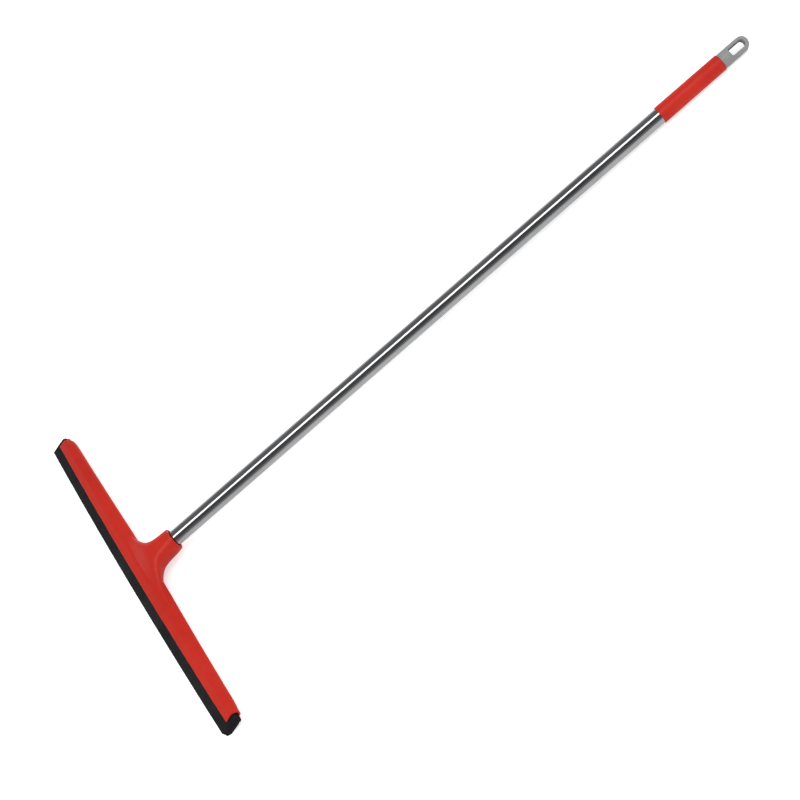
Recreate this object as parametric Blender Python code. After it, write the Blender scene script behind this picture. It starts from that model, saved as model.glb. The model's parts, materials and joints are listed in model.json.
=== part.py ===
"""Floor squeegee (floor wiper) with a screw-in handle.

A one-piece moulded head carries two foam lips in a channel and a leaning,
threaded socket.  A chromed steel tube with a threaded plug screws into the
socket.  A thin sleeve is the grip, and a hanging loop turns freely on a bush
pressed into the top of the tube.

The tool is modelled lying on its back on a flat surface, as it is put down:
the two back corners of the blade and the top of the handle touch the surface.
World axes: +X along the blade, +Y along the handle towards the loop, +Z up.

The head is drawn in its own upright frame: x along the blade, y through its
thickness (front face at y = 0, back at +y), z from the lip edge upwards.
Handle parts are drawn with +Z along the handle, from the point where the
handle's line crosses the middle of the head.
Sizes are in millimetres in the constants and in metres in the meshes.
"""
import math

import bmesh
import bpy
from mathutils import Matrix, Vector

MM = 0.001

# ---------------------------------------------------------------- dimensions
# head, in its upright frame
FRAME_LENGTH = 535.6      # moulded frame, end to end at its lower edge
END_SLANT = 3.0           # how much shorter the +X end is at the roof
FAR_SLANT = 0.6           # and the -X end
BACK_SLANT = 3.0          # and at the back
ARM_SHIFT = 2.0           # the arms aren't quite centred on the neck
BOW = 4.2                 # how far the ends are swept back at x = 250
LIP_TO_FRAME = 16.2       # exposed height of the foam lips
RIDGE_MID = 44.9          # height of the roof of the arms at the neck
RIDGE_END = 35.4          # and near the ends
HIP_LENGTH = 20.0         # over which the roof drops to the end
HIP_DROP = 4.2
FLAP_TOP = 30.0           # where the upright front flap turns into the roof
BACK_TOP = 27.6           # and the back flap
WALL = 2.3                # wall of the moulding
MID_Y = 8.0               # middle of the thickness
CHANNEL = 16.4            # inside width of the channel at its mouth
BARB = 1.1                # height of the moulded teeth that hold the foam

# foam lips
LIP_LENGTH = 546.0
LIP_THICK = 7.7
LIP_GAP = 0.3
LIP_TOP = 27.7

# handle line
LEAN = math.radians(20.87)     # lean of the handle away from the front face
AXIS_Y = -0.9                  # where the handle's line crosses the head
AXIS_Z = 22.8
MOUTH = 65.3                   # socket mouth, along the handle line
SOCKET_R = 15.9                # outside radius at the mouth
RECESS_R = 12.35               # plain recess that takes the tube's end
RECESS_FLOOR = 52.4
BORE_END = 26.6                # bottom of the threaded bore

# thread: coarse, right-handed
PITCH = 5.0
BORE_MAJOR = 10.9
BORE_MINOR = 9.15
PLUG_MAJOR = 10.55
PLUG_MINOR = 8.75
THREAD_SEGMENTS = 24

# tube, plug, grip
TUBE_R = 11.0
TUBE_BORE = 10.2
TUBE_START = 54.6
TUBE_END = 999.6
PLUG_END = 28.0                # lower end of the plug
PLUG_TOP = 92.0
RIVET_AT = 60.4
RIVET_R = 1.6
GRIP_START = 898.6
GRIP_END = 1001.3
GRIP_BORE = 11.27
GRIP_R0 = 12.1
GRIP_R1 = 11.7

# swivel loop
BUSH_START = 976.0
BUSH_BORE = 6.2
STEM_R = 5.8
LOOP_BASE = 1001.75
LOOP_TIP = 1044.8
LOOP_R = 10.85
SLOT_START = 1016.8
SLOT_END = 1039.6
SLOT_WIDTH = 10.8
LOOP_TURN = math.radians(32.0)  # how far the loop is turned on the handle

ROUND = 48                      # segments of turned parts


# ------------------------------------------------------------------- helpers
def clear_scene():
    for obj in list(bpy.data.objects):
        bpy.data.objects.remove(obj, do_unlink=True)


def material(name, colour, roughness, metallic=0.0):
    mat = bpy.data.materials.new(name)
    mat.use_nodes = True
    shader = mat.node_tree.nodes["Principled BSDF"]
    shader.inputs["Base Color"].default_value = (*colour, 1.0)
    shader.inputs["Roughness"].default_value = roughness
    shader.inputs["Metallic"].default_value = metallic
    mat.diffuse_color = (*colour, 1.0)
    return mat


def new_object(name, bm, mat=None, parent=None, smooth_angle=35.0):
    bmesh.ops.recalc_face_normals(bm, faces=bm.faces[:])
    mesh = bpy.data.meshes.new(name)
    bm.to_mesh(mesh)
    bm.free()
    obj = bpy.data.objects.new(name, mesh)
    bpy.context.scene.collection.objects.link(obj)
    if mat:
        mesh.materials.append(mat)
    mesh.shade_smooth()
    mesh.set_sharp_from_angle(angle=math.radians(smooth_angle))
    obj.parent = parent
    return obj


def as_cutter(obj):
    obj.hide_render = True
    obj.display_type = "WIRE"
    return obj


def boolean(obj, other, operation):
    mod = obj.modifiers.new(operation.title() + "_" + other.name, "BOOLEAN")
    mod.operation = operation
    mod.solver = "EXACT"
    mod.object = as_cutter(other)
    return mod


def loft(rings):
    """A closed body through rings of equal length, capped at both ends."""
    bm = bmesh.new()
    rows = [[bm.verts.new(Vector(p) * MM) for p in ring] for ring in rings]
    n = len(rows[0])
    for a, b in zip(rows, rows[1:]):
        for i in range(n):
            bm.faces.new((a[i], a[(i + 1) % n], b[(i + 1) % n], b[i]))
    bm.faces.new(rows[0])
    bm.faces.new(list(reversed(rows[-1])))
    return bm


def turned(profile, segments=ROUND):
    """A solid of revolution about Z from (r, z) points; r = 0 closes it."""
    bm = bmesh.new()
    rows = []
    for r, z in profile:
        if r < 1e-9:
            rows.append([bm.verts.new((0, 0, z * MM))])
        else:
            rows.append([
                bm.verts.new((r * MM * math.cos(2 * math.pi * k / segments),
                              r * MM * math.sin(2 * math.pi * k / segments),
                              z * MM))
                for k in range(segments)])
    for a, b in zip(rows, rows[1:] + ([rows[0]] if len(rows[0]) > 1 and len(rows[-1]) > 1 else [])):
        for k in range(segments):
            j = (k + 1) % segments
            if len(a) == 1 and len(b) == 1:
                continue
            if len(a) == 1:
                bm.faces.new((a[0], b[j], b[k]))
            elif len(b) == 1:
                bm.faces.new((a[k], a[j], b[0]))
            else:
                bm.faces.new((a[k], a[j], b[j], b[k]))
    return bm


def threaded_rod(minor, major, start, end, root, crest, taper=0.0, segments=THREAD_SEGMENTS):
    """A closed rod whose side is a right-handed helical ridge.

    root and crest are the ridge's widths at its foot and its top.  Each
    column of points at one angle runs up the rod; going once round, the
    columns rise by one pitch.
    """
    bm = bmesh.new()
    first = math.floor(start / PITCH) - 1        # every thread shares one phase
    last = math.ceil(end / PITCH) + 1
    half_root, half_crest = root / 2, crest / 2
    # one pitch of the profile, measured from the ridge's centre
    shape = [(-half_root, minor), (-half_crest, major), (half_crest, major), (half_root, minor)]
    columns = []
    for k in range(segments):
        angle = 2 * math.pi * k / segments
        column = []
        for t in range(first, last):
            base = PITCH * (t + k / segments)
            for dz, r in shape:
                z = base + dz
                f = 1.0 - taper * max(0.0, (start + 6.0 - z) / 6.0)
                column.append(bm.verts.new((r * f * MM * math.cos(angle), r * f * MM * math.sin(angle), z * MM)))
        columns.append(column)
    per = len(shape)
    rows = len(columns[0])
    for k in range(segments - 1):
        a, b = columns[k], columns[k + 1]
        for i in range(rows - 1):
            bm.faces.new((a[i], b[i], b[i + 1], a[i + 1]))
    # the last column meets the first one a pitch higher
    a, b = columns[-1], columns[0]
    for i in range(rows - 1 - per):
        bm.faces.new((a[i], b[i + per], b[i + 1 + per], a[i + 1]))
    # close both ends with a fan to the axis
    for bottom in (True, False):
        edges = [e for e in bm.edges if e.is_boundary]
        loop = [e for e in edges if (sum(v.co.z for v in e.verts) / 2 < (start + end) / 2 * MM) == bottom]
        zs = [v.co.z for e in loop for v in e.verts]
        centre = bm.verts.new((0, 0, (min(zs) - 0.002) if bottom else (max(zs) + 0.002)))
        for e in loop:
            bm.faces.new((e.verts[0], e.verts[1], centre))
    return bm


def lerp(a, b, t):
    return a + (b - a) * t


def table(points, x):
    """Smooth reading between the rows of a small design table."""
    if x <= points[0][0]:
        return points[0][1]
    for i, ((x0, y0), (x1, y1)) in enumerate(zip(points, points[1:])):
        if x <= x1:
            xm, ym = points[i - 1] if i > 0 else (x0, y0)
            xn, yn = points[i + 2] if i + 2 < len(points) else (x1, y1)
            m0 = (y1 - ym) / (x1 - xm)
            m1 = (yn - y0) / (xn - x0)
            h = x1 - x0
            t = (x - x0) / h
            return ((2 * t ** 3 - 3 * t ** 2 + 1) * y0 + (t ** 3 - 2 * t ** 2 + t) * h * m0
                    + (-2 * t ** 3 + 3 * t ** 2) * y1 + (t ** 3 - t ** 2) * h * m1)
    return points[-1][1]


# ---------------------------------------------------------------- head frame
def ridge_height(x):
    """Height of the arms' roof: highest at the neck, dropping at the ends."""
    t = min(1.0, abs(x) / (FRAME_LENGTH / 2))
    top = lerp(RIDGE_MID, RIDGE_END, t ** 0.85)
    from_end = max(0.0, FRAME_LENGTH / 2 - abs(x))
    if from_end < HIP_LENGTH:
        top -= HIP_DROP * (1 - math.sqrt(1 - (1 - from_end / HIP_LENGTH) ** 2))
    return top


def arm_outline(x):
    """Outside of the arm, (y, z) from the front flap over the roof to the back."""
    top = ridge_height(x)
    k = top - FLAP_TOP
    return [
        (-2.55, LIP_TO_FRAME), (-2.35, FLAP_TOP - 3.0), (-2.05, FLAP_TOP - 1.0),
        (-1.2, FLAP_TOP + 0.6), (4.4, FLAP_TOP + 0.4 + 0.78 * k), (6.1, FLAP_TOP + 0.2 + 0.92 * k),
        (MID_Y, top), (9.9, top - 0.5 - 0.04 * k), (11.6, top - 1.2 - 0.12 * k),
        (16.3, BACK_TOP + 1.2), (17.4, BACK_TOP - 0.6), (17.85, BACK_TOP - 3.0), (18.2, LIP_TO_FRAME),
    ]


def channel_outline(x):
    """Inside of the channel, with teeth on both walls, open downwards."""
    top = ridge_height(x)
    y0 = MID_Y - CHANNEL / 2
    half = [
        (y0, LIP_TO_FRAME - 6.0), (y0, LIP_TO_FRAME + 3.0), (y0 + BARB, LIP_TO_FRAME + 4.6),
        (y0 + 0.1, LIP_TO_FRAME + 4.9), (y0 + 0.15, LIP_TO_FRAME + 6.6), (y0 + BARB, LIP_TO_FRAME + 8.2),
        (y0 + 0.2, LIP_TO_FRAME + 8.5), (y0 + 0.5, LIP_TOP - 2.4), (y0 + 3.3, LIP_TOP + 0.4),
        (6.3, max(LIP_TOP + 0.5, top - 5.2)), (MID_Y, max(LIP_TOP + 0.6, top - 3.2)),
    ]
    return half + [(2 * MID_Y - y, z) for y, z in reversed(half[:-1])]


def stations(length, count):
    """Positions along the blade, closer together where the ends drop."""
    half = length / 2
    inner = [i * (half - HIP_LENGTH) / count for i in range(count)]
    outer = [half - d for d in (HIP_LENGTH, 12.0, 6.5, 3.0, 0.9, 0.0)]
    right = inner + outer
    return [-x for x in reversed(right[1:])] + right


def swept(x, y):
    return y + BOW * (x / 250.0) ** 2


def arm_ring(x, outline, slant=1.0):
    """One section, its upper and back points pulled in towards the middle."""
    ring = []
    for y, z in outline:
        up = END_SLANT if x > 0 else FAR_SLANT
        short = up * max(0.0, z - LIP_TO_FRAME) / 15.0 + BACK_SLANT * max(0.0, y) / 18.0
        ring.append((x * (1.0 - slant * short / (FRAME_LENGTH / 2)) + ARM_SHIFT, swept(x, y), z))
    return ring


def neck_ring(s, count=40):
    """Section of the neck across the handle line: a rounded square that
    spreads sideways into the arms lower down."""
    width = table(NECK_WIDTH, s)
    front = table(NECK_FRONT, s)
    back = table(NECK_BACK, s)
    power = table(NECK_POWER, s)
    ring = []
    for i in range(count):
        a = 2 * math.pi * (i + 0.5) / count
        c, d = math.cos(a), math.sin(a)
        x = width * math.copysign(abs(c) ** (2 / power), c)
        v = (back if d > 0 else front) * math.copysign(abs(d) ** (2 / power), d)
        ring.append((x, v, s))
    return ring


# half-width, front reach, back reach and squareness of the neck against the
# distance along the handle line
NECK_WIDTH = [(8, 62), (14, 58), (18, 50), (22, 39.2), (26, 30.2), (31, 22.9), (37, 18.5), (44, 16.3),
              (52, 15.6), (58, 15.6), (63.5, 15.9), (MOUTH, 15.4)]
NECK_FRONT = [(8, 3.6), (14, 7.0), (20, 10.4), (27, 13.2), (37, 14.1), (50, 14.9), (58, 15.4), (63.5, 15.8), (MOUTH, 15.2)]
NECK_BACK = [(8, 16.5), (14, 14.6), (20, 14.3), (27, 14.9), (37, 16.6), (50, 17.6), (58, 17.0), (63.5, 15.9), (MOUTH, 15.2)]
NECK_POWER = [(8, 1.6), (14, 1.65), (20, 1.9), (26, 2.3), (32, 2.7), (40, 2.9), (52, 2.7), (60, 2.3), (MOUTH, 2.05)]
NECK_STATIONS = [8, 14, 18, 22, 26, 30, 34, 38, 43, 48, 53, 58, 61.5, 63.9, 65.0, MOUTH]


def build_head(mat, tool, handle):
    bm = loft([arm_ring(x, arm_outline(x)) for x in stations(FRAME_LENGTH, 11)])
    head = new_object("head_frame", bm, mat, tool)

    neck = new_object("neck_shape", loft([neck_ring(s) for s in NECK_STATIONS]), None, handle)
    boolean(head, neck, "UNION")

    bm = loft([arm_ring(x, channel_outline(x), 0.0) for x in stations(FRAME_LENGTH + 24.0, 9)])
    boolean(head, new_object("channel_cut", bm, None, tool), "DIFFERENCE")

    # mouth: a lead-in, then a plain recess down to a flat shoulder
    bm = turned([(0, RECESS_FLOOR), (RECESS_R, RECESS_FLOOR), (RECESS_R, MOUTH - 1.2),
                 (RECESS_R + 0.9, MOUTH + 0.2), (RECESS_R + 0.9, MOUTH + 4.0), (0, MOUTH + 4.0)], 40)
    boolean(head, new_object("recess_cut", bm, None, handle), "DIFFERENCE")

    # threaded bore: the helical cutter kept between two flat ends
    rod = new_object("thread_cut", threaded_rod(
        BORE_MINOR, BORE_MAJOR, BORE_END, RECESS_FLOOR + 2.0, 3.3, 2.0), None, handle)
    limit = new_object("thread_cut_limit", turned(
        [(0, BORE_END), (BORE_MAJOR + 4, BORE_END), (BORE_MAJOR + 4, RECESS_FLOOR + 1.0), (0, RECESS_FLOOR + 1.0)], 24), None, handle)
    boolean(rod, limit, "INTERSECT")
    boolean(head, rod, "DIFFERENCE")
    return head


# ----------------------------------------------------------------- foam lips
def lip_outline(front):
    """One foam lip: slanted working edge, grooves for the teeth, chamfered top."""
    a = MID_Y - CHANNEL / 2 + 0.35
    inner = MID_Y - LIP_GAP / 2
    if front:
        edge = [(inner, -2.2), (a, 0.0)]
    else:
        edge = [(inner, -2.3), (4.2, -3.6), (a, 0.2)]
    side = [
        (a, LIP_TO_FRAME + 2.6), (a + BARB, LIP_TO_FRAME + 4.5), (a + BARB, LIP_TO_FRAME + 5.2),
        (a + 0.15, LIP_TO_FRAME + 5.4), (a + 0.15, LIP_TO_FRAME + 6.3), (a + BARB, LIP_TO_FRAME + 8.1),
        (a + BARB, LIP_TO_FRAME + 8.7), (a + 0.5, LIP_TO_FRAME + 8.9), (a + 0.6, LIP_TOP - 2.6),
        (a + 3.4, LIP_TOP), (inner, LIP_TOP),
    ]
    outline = edge + side
    if not front:
        outline = [(2 * MID_Y - y, z) for y, z in outline]
    return outline


def lip_stations():
    return [LIP_LENGTH * (i / 18.0 - 0.5) for i in range(19)]


def build_lips(mat, tool):
    for name, front in (("foam_lip_front", True), ("foam_lip_rear", False)):
        bm = loft([[(x, swept(x, y), z) for y, z in lip_outline(front)] for x in lip_stations()])
        new_object(name, bm, mat, tool)


# -------------------------------------------------------------------- handle
def build_tube(mat, handle):
    """Straight chromed tube, rounded at both cut ends, with two rivet holes."""
    bm = turned([(TUBE_BORE, TUBE_START), (TUBE_R - 0.25, TUBE_START), (TUBE_R, TUBE_START + 0.3),
                 (TUBE_R, TUBE_START + 30), (TUBE_R, GRIP_START + 20), (TUBE_R, TUBE_END - 0.3),
                 (TUBE_R - 0.25, TUBE_END), (TUBE_BORE, TUBE_END)])
    tube = new_object("handle_tube", bm, mat, handle)
    boolean(tube, rivet_cutter("tube_rivet_hole", handle, RIVET_R + 0.3, 14.0), "DIFFERENCE")
    return tube


def rivet_cutter(name, handle, radius, reach):
    bm = turned([(0, -reach), (radius, -reach), (radius, reach), (0, reach)], 16)
    bmesh.ops.rotate(bm, cent=(0, 0, 0), matrix=Matrix.Rotation(math.pi / 2, 3, "Y"), verts=bm.verts[:])
    bmesh.ops.translate(bm, vec=(0, 0, RIVET_AT * MM), verts=bm.verts[:])
    return new_object(name, bm, None, handle)


def build_plug(mat, handle):
    """Threaded plug: ribbed spigot up inside the tube, collar, male thread."""
    spigot = turned([(0, RECESS_FLOOR - 3.0), (PLUG_MINOR - 0.1, RECESS_FLOOR - 3.0), (PLUG_MINOR - 0.1, RECESS_FLOOR + 0.4),
                     (TUBE_R - 0.1, RECESS_FLOOR + 0.5), (TUBE_R - 0.1, TUBE_START - 0.3),
                     (TUBE_BORE - 0.3, TUBE_START - 0.3), (TUBE_BORE - 0.3, PLUG_TOP - 2.0), (TUBE_BORE - 1.3, PLUG_TOP),
                     (6.6, PLUG_TOP), (6.6, TUBE_START + 12.0), (0, TUBE_START + 11.0)])
    plug = new_object("threaded_plug", spigot, mat, handle)
    rod = new_object("plug_thread", threaded_rod(
        PLUG_MINOR, PLUG_MAJOR, PLUG_END, RECESS_FLOOR, 2.5, 1.2), None, handle)
    limit = new_object("plug_thread_limit", turned(
        [(0, PLUG_END), (PLUG_MINOR - 1.2, PLUG_END), (PLUG_MAJOR + 0.6, PLUG_END + 2.6),
         (PLUG_MAJOR + 0.6, RECESS_FLOOR - 2.6), (PLUG_MINOR - 0.6, RECESS_FLOOR - 1.2), (0, RECESS_FLOOR - 1.2)], 24), None, handle)
    boolean(rod, limit, "INTERSECT")
    boolean(plug, rod, "UNION")
    # moulding core from below keeps the wall of the thread even
    core = new_object("plug_core", turned(
        [(0, PLUG_END - 2), (5.6, PLUG_END - 2), (5.2, TUBE_START + 1.0), (0, TUBE_START + 1.0)], 24), None, handle)
    boolean(plug, core, "DIFFERENCE")
    boolean(plug, rivet_cutter("plug_rivet_hole", handle, RIVET_R + 0.3, 14.0), "DIFFERENCE")
    return plug


def build_rivet(mat, handle):
    """Cross rivet through tube and plug, with low domed heads in the recess."""
    r, h = RIVET_R, TUBE_R + 0.3
    prof = [(0, -h - 0.75), (1.4, -h - 0.65), (2.6, -h - 0.3), (2.9, -h), (r, -h),
            (r, h), (2.9, h), (2.6, h + 0.3), (1.4, h + 0.65), (0, h + 0.75)]
    bm = turned(prof, 16)
    bmesh.ops.rotate(bm, cent=(0, 0, 0), matrix=Matrix.Rotation(math.pi / 2, 3, "Y"), verts=bm.verts[:])
    bmesh.ops.translate(bm, vec=(0, 0, RIVET_AT * MM), verts=bm.verts[:])
    return new_object("plug_rivet", bm, mat, handle)


def build_grip(mat, handle):
    """Thin sleeve over the top of the tube, slightly thicker at its lower end."""
    a, b = GRIP_START, GRIP_END
    bm = turned([(GRIP_BORE, a), (GRIP_R0 - 0.4, a), (GRIP_R0, a + 0.5), (GRIP_R0, a + 2.0),
                 (lerp(GRIP_R0, GRIP_R1, 0.55), lerp(a, b, 0.5)), (GRIP_R1, b - 0.8), (GRIP_R1 - 0.25, b), (GRIP_BORE, b)])
    return new_object("grip_sleeve", bm, mat, handle)


def build_bush(mat, handle):
    """Flanged bush in the top of the tube, in which the loop's stem turns."""
    bm = turned([(BUSH_BORE, BUSH_START), (TUBE_BORE - 1.2, BUSH_START), (TUBE_BORE - 0.3, BUSH_START + 2.0),
                 (TUBE_BORE - 0.3, TUBE_END + 0.3), (TUBE_R - 0.15, TUBE_END + 0.3), (TUBE_R - 0.15, TUBE_END + 1.5),
                 (BUSH_BORE + 0.5, TUBE_END + 1.5), (BUSH_BORE, TUBE_END + 1.0)])
    return new_object("swivel_bush", bm, mat, handle)


def build_loop(mat, loop_axis):
    """Hanging loop: round body, half-round tip, long slot, snap-in stem."""
    body = turned([(0, LOOP_BASE), (LOOP_R - 0.5, LOOP_BASE), (LOOP_R - 0.1, LOOP_BASE + 0.5), (LOOP_R, LOOP_BASE + 5),
                   (LOOP_R + 0.05, LOOP_TIP - 14.0), (LOOP_R - 0.15, LOOP_TIP - 6.0), (LOOP_R - 1.6, LOOP_TIP - 1.0),
                   (LOOP_R - 3.0, LOOP_TIP), (0, LOOP_TIP)])
    loop = new_object("hanging_loop", body, mat, loop_axis)

    def prism(name, points, reach):
        """Outline in the x-z plane of the loop, drawn through along y."""
        rings = [[(x, y, z) for x, z in points] for y in (-reach, reach)]
        return new_object(name, loft(rings), None, loop_axis)

    # half-round tip
    r = LOOP_R + 0.05
    cz = LOOP_TIP - r
    tip = [(r + 0.4, LOOP_BASE - 1.0), (r + 0.4, cz)]
    tip += [(r * math.cos(a), cz + r * math.sin(a)) for a in (math.pi * k / 20 for k in range(1, 20))]
    tip += [(-r - 0.4, cz), (-r - 0.4, LOOP_BASE - 1.0)]
    boolean(loop, prism("loop_outline", tip, 16.0), "INTERSECT")

    # slot: small corner radii at its foot, half round at its far end
    w, r0 = SLOT_WIDTH / 2, 2.2
    slot = []
    for k in range(5):
        a = math.pi + math.pi / 2 * k / 4
        slot.append((-w + r0 + r0 * math.cos(a), SLOT_START + r0 + r0 * math.sin(a)))
    for k in range(5):
        a = -math.pi / 2 + math.pi / 2 * k / 4
        slot.append((w - r0 + r0 * math.cos(a), SLOT_START + r0 + r0 * math.sin(a)))
    # the far end is rounded, with a narrow flat seat in the middle
    for k in range(7):
        a = math.radians(73.0) * k / 6
        slot.append((w * math.cos(a), SLOT_END - 4.4 + 4.4 * math.sin(a) / math.sin(math.radians(73.0))))
    for k in range(7):
        a = math.pi - math.radians(73.0) * (6 - k) / 6
        slot.append((w * math.cos(a), SLOT_END - 4.4 + 4.4 * math.sin(a) / math.sin(math.radians(73.0))))
    boolean(loop, prism("loop_slot", slot, 16.0), "DIFFERENCE")

    # stem with a snap bead below the bush, split so that it can spring
    b = BUSH_START
    stem = turned([(0, b - 7.0), (4.6, b - 7.0), (7.0, b - 2.6), (7.0, b - 1.2), (STEM_R, b - 0.6),
                   (STEM_R, LOOP_BASE + 2.0), (0, LOOP_BASE + 2.0)], 32)
    boolean(loop, new_object("loop_stem", stem, None, loop_axis), "UNION")
    split = bmesh.new()
    bmesh.ops.create_cube(split, size=1.0, matrix=Matrix.Translation((0, 0, (b + 4.0) * MM)) @ Matrix.Diagonal((0.0016, 0.03, 0.026, 1)))
    boolean(loop, new_object("loop_split", split, None, loop_axis), "DIFFERENCE")
    return loop


# ------------------------------------------------------------------ assembly
def lowest(objects, depsgraph):
    low = None
    for obj in objects:
        ev = obj.evaluated_get(depsgraph)
        for v in ev.data.vertices:
            z = (ev.matrix_world @ v.co).z
            low = z if low is None or z < low else low
    return low


def main():
    clear_scene()
    red = material("red_polypropylene", (0.56, 0.030, 0.022), 0.36)
    grip_red = material("red_grip", (0.58, 0.032, 0.024), 0.42)
    foam = material("black_foam", (0.016, 0.017, 0.019), 0.92)
    chrome = material("chromed_steel", (0.72, 0.72, 0.72), 0.14, 1.0)
    grey = material("grey_plastic", (0.33, 0.335, 0.34), 0.5)
    white = material("natural_plastic", (0.72, 0.70, 0.64), 0.5)
    steel = material("rivet_steel", (0.55, 0.55, 0.56), 0.3, 1.0)

    collection = bpy.context.scene.collection
    tool = bpy.data.objects.new("tool", None)          # the head's upright frame
    handle = bpy.data.objects.new("handle_line", None)  # on the screw's axis
    loop_axis = bpy.data.objects.new("loop_line", None)
    for empty in (tool, handle, loop_axis):
        collection.objects.link(empty)
    handle.parent = tool
    handle.location = (0, AXIS_Y * MM, AXIS_Z * MM)
    handle.rotation_euler = (-LEAN, 0, 0)
    loop_axis.parent = handle
    loop_axis.rotation_euler = (0, 0, LOOP_TURN)

    head = build_head(red, tool, handle)
    build_lips(foam, tool)
    build_tube(chrome, handle)
    build_plug(white, handle)
    build_rivet(steel, handle)
    build_grip(grip_red, handle)
    build_bush(white, handle)
    build_loop(grey, loop_axis)

    # lay the tool on its back: tilt it until blade and loop touch one plane
    parts = [o for o in collection.objects if o.type == "MESH" and not o.hide_render]
    at_head = [o for o in parts if o.name.startswith(("head", "foam"))]
    at_loop = [o for o in parts if o.name.startswith(("hanging", "grip"))]
    low_tilt, high_tilt = math.radians(60.0), math.radians(80.0)
    for _ in range(40):
        tilt = (low_tilt + high_tilt) / 2
        tool.rotation_euler = (-tilt, 0, 0)
        bpy.context.view_layer.update()
        graph = bpy.context.evaluated_depsgraph_get()
        if lowest(at_head, graph) > lowest(at_loop, graph):
            high_tilt = tilt
        else:
            low_tilt = tilt

    # origin under the middle of the tool's box, on the surface it lies on
    corners = []
    for obj in parts:
        ev = obj.evaluated_get(graph)
        corners += [ev.matrix_world @ v.co for v in ev.data.vertices]
    lo = [min(c[i] for c in corners) for i in range(3)]
    hi = [max(c[i] for c in corners) for i in range(3)]
    tool.location = (-(lo[0] + hi[0]) / 2, -(lo[1] + hi[1]) / 2, -lo[2])
    bpy.context.view_layer.update()


main()
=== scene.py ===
"""Looks for the floor squeegee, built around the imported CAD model."""

import json
import math

import bmesh
import bpy
from mathutils import Matrix, Vector, noise


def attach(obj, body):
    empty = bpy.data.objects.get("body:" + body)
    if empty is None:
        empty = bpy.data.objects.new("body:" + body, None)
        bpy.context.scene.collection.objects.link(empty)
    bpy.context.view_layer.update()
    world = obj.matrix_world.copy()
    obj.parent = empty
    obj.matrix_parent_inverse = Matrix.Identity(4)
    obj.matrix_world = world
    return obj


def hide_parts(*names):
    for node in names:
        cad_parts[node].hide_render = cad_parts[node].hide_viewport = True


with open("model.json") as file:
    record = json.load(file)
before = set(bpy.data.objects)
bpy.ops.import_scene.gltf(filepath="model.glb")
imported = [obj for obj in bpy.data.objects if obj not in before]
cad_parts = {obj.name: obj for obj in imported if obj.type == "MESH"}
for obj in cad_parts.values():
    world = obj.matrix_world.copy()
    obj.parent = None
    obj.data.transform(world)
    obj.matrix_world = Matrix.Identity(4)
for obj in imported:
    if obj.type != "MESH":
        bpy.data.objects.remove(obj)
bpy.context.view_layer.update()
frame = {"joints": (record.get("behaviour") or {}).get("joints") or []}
MM = 0.001

# ------------------------------------------------------------ the two frames
# handle frame: z along the screw's axis, from the record's own joint
turn = next(j for j in frame["joints"] if j["name"] == "handle_turn")
AXIS = Vector(turn["axis"]).normalized()
side = Vector((1.0, 0.0, 0.0))
HANDLE = Matrix((side, AXIS.cross(side), AXIS)).transposed().to_4x4()
HANDLE.translation = Vector(turn["pos_m"])
# head frame: x along the blade, y through its thickness, z up from the lip edge
LEAN = math.radians(20.87)
AXIS_Y, AXIS_Z = -0.9, 22.8
TOOL = HANDLE @ Matrix.Rotation(LEAN, 4, "X") @ Matrix.Translation((0, -AXIS_Y * MM, -AXIS_Z * MM))
LOOP_TURN = math.radians(32.0)
LOOP = HANDLE @ Matrix.Rotation(LOOP_TURN, 4, "Z")

# --------------------------------------------------------------- dimensions
FRAME_LENGTH, END_SLANT, FAR_SLANT, BACK_SLANT, ARM_SHIFT, BOW = 535.6, 3.0, 0.6, 3.0, 2.0, 4.2
LIP_TO_FRAME, RIDGE_MID, RIDGE_END = 16.2, 44.9, 35.4
HIP_LENGTH, HIP_DROP, FLAP_TOP, BACK_TOP = 20.0, 4.2, 30.0, 27.6
MID_Y, CHANNEL, BARB = 8.0, 16.4, 1.1
LIP_LENGTH, LIP_GAP, LIP_TOP = 546.0, 0.3, 27.7
MOUTH, RECESS_R, RECESS_FLOOR, BORE_END = 65.3, 12.35, 52.4, 26.6
PITCH, BORE_MAJOR, BORE_MINOR, PLUG_MAJOR, PLUG_MINOR = 5.0, 10.9, 9.15, 10.55, 8.75
TUBE_R, TUBE_BORE, TUBE_START, TUBE_END = 11.0, 10.2, 54.6, 999.6
PLUG_END, PLUG_TOP, RIVET_AT, RIVET_R = 28.0, 92.0, 60.4, 1.6
GRIP_START, GRIP_END, GRIP_BORE, GRIP_R0, GRIP_R1 = 898.6, 1001.3, 11.27, 12.1, 11.7
BUSH_START, BUSH_BORE, STEM_R = 976.0, 6.2, 5.8
LOOP_BASE, LOOP_TIP, LOOP_R = 1001.75, 1044.8, 10.85
SLOT_START, SLOT_END, SLOT_WIDTH = 1016.8, 1039.6, 10.8


# ------------------------------------------------------------------ helpers
def finished(bm, name, matrix, angle=40.0):
    bmesh.ops.recalc_face_normals(bm, faces=bm.faces[:])
    mesh = bpy.data.meshes.new(name)
    bm.to_mesh(mesh)
    bm.free()
    mesh.transform(matrix)
    obj = bpy.data.objects.new(name, mesh)
    bpy.context.scene.collection.objects.link(obj)
    shade(mesh, angle)
    return obj


def shade(mesh, angle=40.0):
    mesh.shade_smooth()
    mesh.set_sharp_from_angle(angle=math.radians(angle))


def apply_modifiers(obj):
    bpy.context.view_layer.update()
    graph = bpy.context.evaluated_depsgraph_get()
    mesh = bpy.data.meshes.new_from_object(obj.evaluated_get(graph))
    old = obj.data
    obj.modifiers.clear()
    obj.data = mesh
    bpy.data.meshes.remove(old)


def combine(obj, others, operation):
    """Boolean with each of the others, which are removed afterwards."""
    for other in others:
        mod = obj.modifiers.new("b", "BOOLEAN")
        mod.operation, mod.solver, mod.object = operation, "EXACT", other
    apply_modifiers(obj)
    for other in others:
        mesh = other.data
        bpy.data.objects.remove(other)
        bpy.data.meshes.remove(mesh)


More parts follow.
